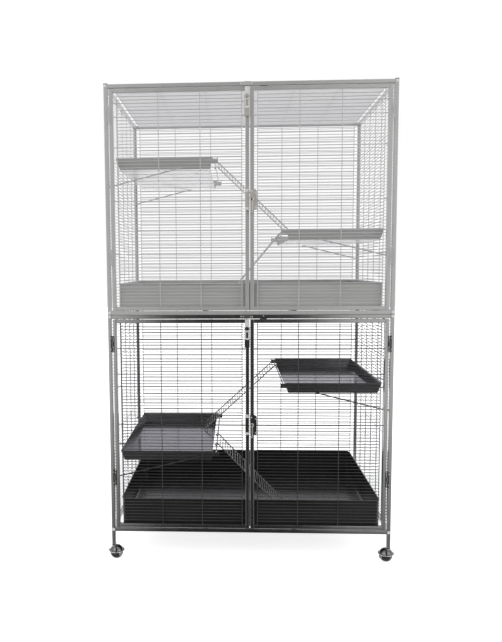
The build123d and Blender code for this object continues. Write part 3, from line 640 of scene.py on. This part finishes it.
def ramp(name, place):
    node = f"{name}_ramp"
    side, slope = place["side"], radians(place["slope"])
    pivot_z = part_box(f"{name}_shelf")[1][2] - pivot_drop
    foot_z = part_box(node)[0][2]
    down = Vector((-side * cos(slope), 0, -sin(slope)))
    up = Vector((-side * sin(slope), 0, cos(slope)))
    pivot = Vector((side * pivot_x, place["y"], pivot_z))
    length = (pivot_z + (hook_radius - ramp_rail / 2) * cos(slope) - foot_z) / sin(slope)
    reach = ramp_width / 2 - ramp_rail / 2
    mesh = bmesh.new()
    for end in (-1, 1):
        start = pivot + Y * end * reach
        points = [start + up * hook_radius + down * (length - 0.0003)]
        points += [start + up * hook_radius + down * length * part for part in (0.6, 0.3, 0.06)]
        for step in range(13):
            turn = radians(90 + 197 * step / 12)
            points.append(start + (down * cos(turn) + up * sin(turn)) * hook_radius)
        bent_wire(mesh, points, Y, ramp_rail / 2)
    count = int((length - first_rung) / rung_pitch) + 1
    for step in range(count):
        centre = pivot + up * hook_radius + down * (first_rung + rung_pitch * step)
        wire(mesh, centre - Y * reach, centre + Y * reach, ramp_rung / 2)
    tier = name.split("_")[0]
    slot = f"{tier}_wire_paint"
    piece(f"{node}_wires", mesh, ramp_wire if tier == "lower" else materials[slot], node, slot, node)


for name, place in ramps.items():
    ramp(name, place)


# Screws and rivets with a crossed recess, filled near black as painted shade
def screw_head(heads, recesses, base, axis, radius):
    turned(heads, base, axis, (
        (0, radius), (0.35 * radius, radius * 0.97), (0.52 * radius, radius * 0.72),
        (0.585 * radius, radius * 0.4)), 16)
    across, up = cross_axes(axis)
    crown = base + axis * 0.50 * radius
    for one, other in ((across, up), (up, across)):
        bar(recesses, crown, crown + axis * 0.10 * radius, radius * 0.52, radius * 0.12, one, radius * 0.05,
            radius * 0.01)


def screws(name, body, places, radius, *replaced):
    """places are pairs of a base point and the way the head faces."""
    heads, recesses = bmesh.new(), bmesh.new()
    for base, axis in places:
        screw_head(heads, recesses, base, axis, radius)
    piece(f"{name}_heads", heads, materials["bright_zinc"], body, "bright_zinc", *replaced)
    piece(f"{name}_recesses", recesses, painted_shade_recess, body, "black_plastic")


keeper_screw_x = (-0.0285, -0.021, 0.0025, 0.008)
screw_radius = 0.0017
places = []
for tier, base in tier_base.items():
    for side in sides.values():
        for hinge in hinges[tier]:
            for end in (-1, 1):
                x, z = side * (hinge_x + 0.0044), base + hinge + end * 0.019
                places.append((Vector((x, front - leaf_thickness, z)), -Y))
    for x in keeper_screw_x:
        places.append((Vector((x, front - 0.0014, tier_top[tier] - tube / 2)), -Y))
    places.append((Vector((0.0455, front, tier_top[tier] - 0.004)), -Y))
screws("frame_screw", "cage", places, screw_radius, "frame_screws")


# Covers over the frame's bolts
def bolt_covers():
    mesh = bmesh.new()
    radius, height = 0.005, 0.002
    for end in (-1, 1):
        for side in sides.values():
            for tier in tier_base:
                for z in (tier_base[tier] + tube / 2, tier_top[tier] - tube / 2):
                    turned(mesh, Vector((side * post_x, end * -front, z)), Y * end, (
                        (0, radius), (height * 0.45, radius), (height * 0.8, radius * 0.8),
                        (height, radius * 0.45)), 20)
    piece("bolt_cover_domes", mesh, materials["white_plastic"], "cage", "white_plastic", "bolt_covers")


bolt_covers()


# Latches: the lever is a bent wire loop on a ring, over the case and its screws
def latch(tier):
    centre = tier_base[tier] + 0.377
    low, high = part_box(f"{tier}_latch_lever")
    pivot = Vector((0.006, 0, centre))
    face = low[1] + 0.0009
    mesh = bmesh.new()
    half_loop = 0.0030
    points = [pivot + Vector((-half_loop, face, -0.003))]
    points += [pivot + Vector((-half_loop, face, -0.0035 - 0.0365 * part)) for part in (0.3, 0.7, 1.0)]
    for step in range(1, 8):
        turn = pi + pi * step / 8
        points.append(pivot + Vector((half_loop * cos(turn), face, -0.040 + half_loop * sin(turn))))
    points += [pivot + Vector((half_loop, face, -0.0035 - 0.0365 * part)) for part in (1.0, 0.7, 0.3)]
    points.append(pivot + Vector((half_loop, face, -0.003)))
    bent_wire(mesh, points, Y, 0.0009, 10)
    ring_radius, ring_steps = 0.0058, 28
    rings = []
    for step in range(ring_steps):
        turn = 2 * pi * step / ring_steps
        outward = X * cos(turn) + Z * sin(turn)
        rings.append(round_ring(pivot + Y * face + outward * ring_radius, outward, Y, 0.00115, 10))
    skin(mesh, rings, closed=True)
    rise = high[1] - low[1]
    turned(mesh, pivot + Y * high[1], -Y, (
        (0, 0.0019), (high[1] - face, 0.0019), (high[1] - face, 0.0040), (rise - 0.0003, 0.0038),
        (rise, 0.0030)), 24)
    piece(f"{tier}_latch_lever_loop", mesh, lever_chrome, f"{tier}_latch_lever",
          "caster_chrome", f"{tier}_latch_lever")
    case_low, case_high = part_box(f"{tier}_latch_case")
    face = case_low[1]
    places = [
        (Vector((0.0185, face, centre + 0.021)), -Y),
        (Vector((0.0185, face, centre - 0.026)), -Y),
        (Vector((0.0050, face, centre + 0.026)), -Y),
    ]
    screws(f"{tier}_latch_screw", f"{tier}_right_door", places, 0.0019)
    strike_low, strike_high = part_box(f"{tier}_strike_plate")
    plate = bmesh.new()
    x = (strike_low[0] + strike_high[0]) / 2
    back_face = Vector((x, strike_low[1], centre))
    bar(plate, back_face, back_face - Y * 0.0007, 0.0050, 0.0245, X, 0.0010, 0.0002)
    case_finish = {"lower": materials["latch_enamel"], "upper": pale_latch}[tier]
    piece(f"{tier}_strike_face", plate, case_finish, f"{tier}_left_door", "latch_enamel")


for tier in tier_base:
    latch(tier)

# Casters: each ball is two halves on a pale band
casters = {"front_left": 40, "front_right": 124, "rear_left": 200, "rear_right": 290}
ball_radius = 0.022


def caster_ball(name, heading):
    node = f"{name}_caster_ball"
    low, high = Vector(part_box(node)[0]), Vector(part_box(node)[1])
    centre = (low + high) / 2
    axle = Vector((-sin(radians(heading)), cos(radians(heading)), 0))
    band_half, bore = 0.0013, 0.0027
    for end, label in ((1, "outer"), (-1, "inner")):
        profile = [(band_half, bore)]
        for step in range(15):
            turn = radians(4.5 + (83 - 4.5) * step / 14)
            profile.append((ball_radius * sin(turn), ball_radius * cos(turn)))
        profile.append((ball_radius * 0.975, bore))
        mesh = bmesh.new()
        turned(mesh, centre, axle * end, profile, 40)
        replaced = (node,) if end == 1 else ()
        piece(f"{node}_{label}_half", mesh, materials["caster_rubber"], node, "caster_rubber", *replaced)
    mesh = bmesh.new()
    radius = ball_radius - 0.0006
    turned(mesh, centre - axle * band_half, axle, (
        (0, bore), (0, radius - 0.0003), (0.0003, radius), (2 * band_half - 0.0003, radius),
        (2 * band_half, radius - 0.0003), (2 * band_half, bore)), 40)
    piece(f"{node}_band", mesh, pale_band, node, "caster_rubber")


def hood_rim(name):
    """The bright rolled rim round a caster's hood."""
    low, high = Vector(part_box(f"{name}_caster_ball")[0]), Vector(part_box(f"{name}_caster_ball")[1])
    centre = (low + high) / 2 + Z * 0.0066
    radius, roll = 0.0268, 0.0008
    mesh = bmesh.new()
    skin(mesh, [
        round_ring(centre + Z * roll * sin(turn * pi / 4), X, Y, radius + roll * cos(turn * pi / 4), 48)
        for turn in range(8)
    ], closed=True)
    piece(f"{name}_hood_rim", mesh, lever_chrome, f"{name}_caster_hood", "caster_chrome")


for name, heading in casters.items():
    caster_ball(name, heading)
    hood_rim(name)


# Carried-over nodes: their finish, and softened edges on what is cut or folded
soft_edges = {
    "latch_case": 0.0005, "bolt_guide": 0.0002, "bolt_keepers": 0.0002, "strike_plate": 0.0003,
    "post_plugs": 0.0004, "caster_sockets": 0.0004, "door_stops": 0.0003, "bolt": 0.0003, "shelf": 0.0003,
    "latch_tongue": 0.0003, "hinge_leaves": 0.0002,
}
enamelled = {
    "upper_latch_case": pale_latch, "upper_bolt_guide": pale_latch, "hinge_leaves": hinge_enamel,
    "lower_bolt_guide": materials["latch_enamel"], "bolt_keepers": keeper_metal,
}
slots = {part["node"]: part["material_slot"] for part in frame["record"]["subparts"]}
for node, cad in frame["nodes"].items():
    slot = slots[node]
    cad.data.materials.clear()
    cad.data.materials.append(enamelled.get(node, materials[slot]))
    width = next((width for ending, width in soft_edges.items() if node.endswith(ending)), 0)
    if width:
        weld = cad.modifiers.new("joined corners", "WELD")
        weld.merge_threshold = 0.00001
        edge = cad.modifiers.new("soft edges", "BEVEL")
        edge.width = width
        edge.segments = 2
        edge.limit_method = "ANGLE"
        edge.angle_limit = radians(30)
        even_shading(cad)


# Floor, world, lamps and camera
def floor():
    """A white floor that ends in front of the cage, so that the tubes mirror the dark room there."""
    mesh = bmesh.new()
    side, near, far = 12, -0.42, 14
    corners = ((-side, near, 0), (side, near, 0), (side, far, 0), (-side, far, 0))
    mesh.faces.new([mesh.verts.new(corner) for corner in corners])
    data = bpy.data.meshes.new("studio_floor")
    mesh.to_mesh(data)
    mesh.free()
    made = bpy.data.objects.new("studio_floor", data)
    bpy.context.scene.collection.objects.link(made)
    material = bpy.data.materials.new("white floor")
    material.use_nodes = True
    tree = material.node_tree
    shader = tree.nodes["Principled BSDF"]
    shader.inputs["Base Color"].default_value = (0.86, 0.86, 0.86, 1)
    shader.inputs["Roughness"].default_value = 0.9
    shader.inputs["Specular IOR Level"].default_value = 0.0
    path = tree.nodes.new("ShaderNodeLightPath")
    seen = tree.nodes.new("ShaderNodeMath")
    seen.operation = "MAXIMUM"
    glow = tree.nodes.new("ShaderNodeMath")
    glow.operation = "MULTIPLY"
    glow.inputs[1].default_value = 0.76
    tree.links.new(path.outputs["Is Camera Ray"], seen.inputs[0])
    tree.links.new(path.outputs["Is Glossy Ray"], seen.inputs[1])
    tree.links.new(seen.outputs[0], glow.inputs[0])
    shader.inputs["Emission Color"].default_value = (1, 1, 1, 1)
    tree.links.new(glow.outputs[0], shader.inputs["Emission Strength"])
    data.materials.append(material)


def studio_world():
    """White to the camera, and in the light bright at the sides and dark in front and low down."""
    world = bpy.data.worlds.new("studio")
    bpy.context.scene.world = world
    world.use_nodes = True
    tree = world.node_tree
    background = tree.nodes["Background"]
    place = tree.nodes.new("ShaderNodeTexCoord")
    split = tree.nodes.new("ShaderNodeSeparateXYZ")
    tree.links.new(place.outputs["Generated"], split.inputs[0])
    sideways = tree.nodes.new("ShaderNodeMath")
    sideways.operation = "ABSOLUTE"
    forward = tree.nodes.new("ShaderNodeMath")
    forward.operation = "MULTIPLY_ADD"
    forward.inputs[1].default_value = 1.0
    tree.links.new(split.outputs["X"], sideways.inputs[0])
    tree.links.new(sideways.outputs[0], forward.inputs[0])
    behind = tree.nodes.new("ShaderNodeMath")
    behind.operation = "MAXIMUM"
    behind.inputs[1].default_value = 0.0
    tree.links.new(split.outputs["Y"], behind.inputs[0])
    tree.links.new(behind.outputs[0], forward.inputs[2])
    spread = tree.nodes.new("ShaderNodeMapRange")
    spread.interpolation_type = "SMOOTHSTEP"
    spread.inputs["From Min"].default_value = 0.10
    spread.inputs["From Max"].default_value = 0.19
    spread.inputs["To Min"].default_value = 0.035
    spread.inputs["To Max"].default_value = 0.95
    tree.links.new(forward.outputs[0], spread.inputs["Value"])
    lowered = tree.nodes.new("ShaderNodeMapRange")
    lowered.inputs["From Min"].default_value = -0.42
    lowered.inputs["From Max"].default_value = -0.20
    lowered.inputs["To Min"].default_value = 0.20
    tree.links.new(split.outputs["Z"], lowered.inputs["Value"])
    lit = tree.nodes.new("ShaderNodeMath")
    lit.operation = "MULTIPLY"
    tree.links.new(spread.outputs["Result"], lit.inputs[0])
    tree.links.new(lowered.outputs["Result"], lit.inputs[1])
    path = tree.nodes.new("ShaderNodeLightPath")
    seen = tree.nodes.new("ShaderNodeMath")
    seen.operation = "MAXIMUM"
    tree.links.new(path.outputs["Is Camera Ray"], seen.inputs[0])
    tree.links.new(path.outputs["Is Transmission Ray"], seen.inputs[1])
    cool = tree.nodes.new("ShaderNodeMapRange")
    cool.inputs["From Min"].default_value = -0.6
    cool.inputs["From Max"].default_value = 0.6
    tree.links.new(split.outputs["Y"], cool.inputs["Value"])
    around = tree.nodes.new("ShaderNodeMix")
    around.data_type = "RGBA"
    around.inputs["A"].default_value = (1.0, 0.99, 0.975, 1)
    around.inputs["B"].default_value = (0.95, 0.94, 1.0, 1)
    tree.links.new(cool.outputs["Result"], around.inputs["Factor"])
    shown = tree.nodes.new("ShaderNodeMix")
    shown.data_type = "RGBA"
    shown.inputs["B"].default_value = (1, 1, 1, 1)
    tree.links.new(seen.outputs[0], shown.inputs["Factor"])
    tree.links.new(around.outputs["Result"], shown.inputs["A"])
    tree.links.new(shown.outputs["Result"], background.inputs["Color"])
    level = tree.nodes.new("ShaderNodeMix")
    level.inputs["B"].default_value = 1.0
    tree.links.new(seen.outputs[0], level.inputs["Factor"])
    tree.links.new(lit.outputs[0], level.inputs["A"])
    tree.links.new(level.outputs["Result"], background.inputs["Strength"])


def lamp(name, place, target, size, power):
    data = bpy.data.lights.new(name, "AREA")
    data.shape = "SQUARE"
    data.size = size
    data.energy = power
    made = bpy.data.objects.new(name, data)
    bpy.context.scene.collection.objects.link(made)
    made.location = place
    made.rotation_euler = (Vector(target) - Vector(place)).to_track_quat("-Z", "Y").to_euler()


def camera():
    yaw, pitch, roll = -0.0457, -0.0873, -0.0063
    ahead = Vector((sin(yaw) * cos(pitch), cos(yaw) * cos(pitch), sin(pitch)))
    level = Vector((cos(yaw), -sin(yaw), 0))
    above = level.cross(ahead)
    right = level * cos(roll) + above * sin(roll)
    up = above * cos(roll) - level * sin(roll)
    data = bpy.data.cameras.new("photo view")
    data.sensor_fit = "HORIZONTAL"
    data.sensor_width = 36
    data.lens = 45.84
    data.shift_x = 0.0907
    data.shift_y = 0.00566
    data.clip_end = 200
    made = bpy.data.objects.new("photo view", data)
    bpy.context.scene.collection.objects.link(made)
    turn = Matrix((right, up, -ahead)).transposed().to_4x4()
    made.matrix_world = Matrix.Translation((-0.05046, -2.43269, 1.00182)) @ turn
    bpy.context.scene.camera = made


floor()
studio_world()
lamp("key softbox", (-2.6, -3.0, 3.2), (0, 0, 0.8), 2.2, 22)
lamp("fill softbox", (3.0, -2.4, 2.4), (0, 0, 0.8), 2.2, 14)
lamp("top softbox", (0, 0.4, 4.0), (0, 0, 0.8), 2.6, 16)
camera()
bpy.context.scene.view_settings.view_transform = "Standard"
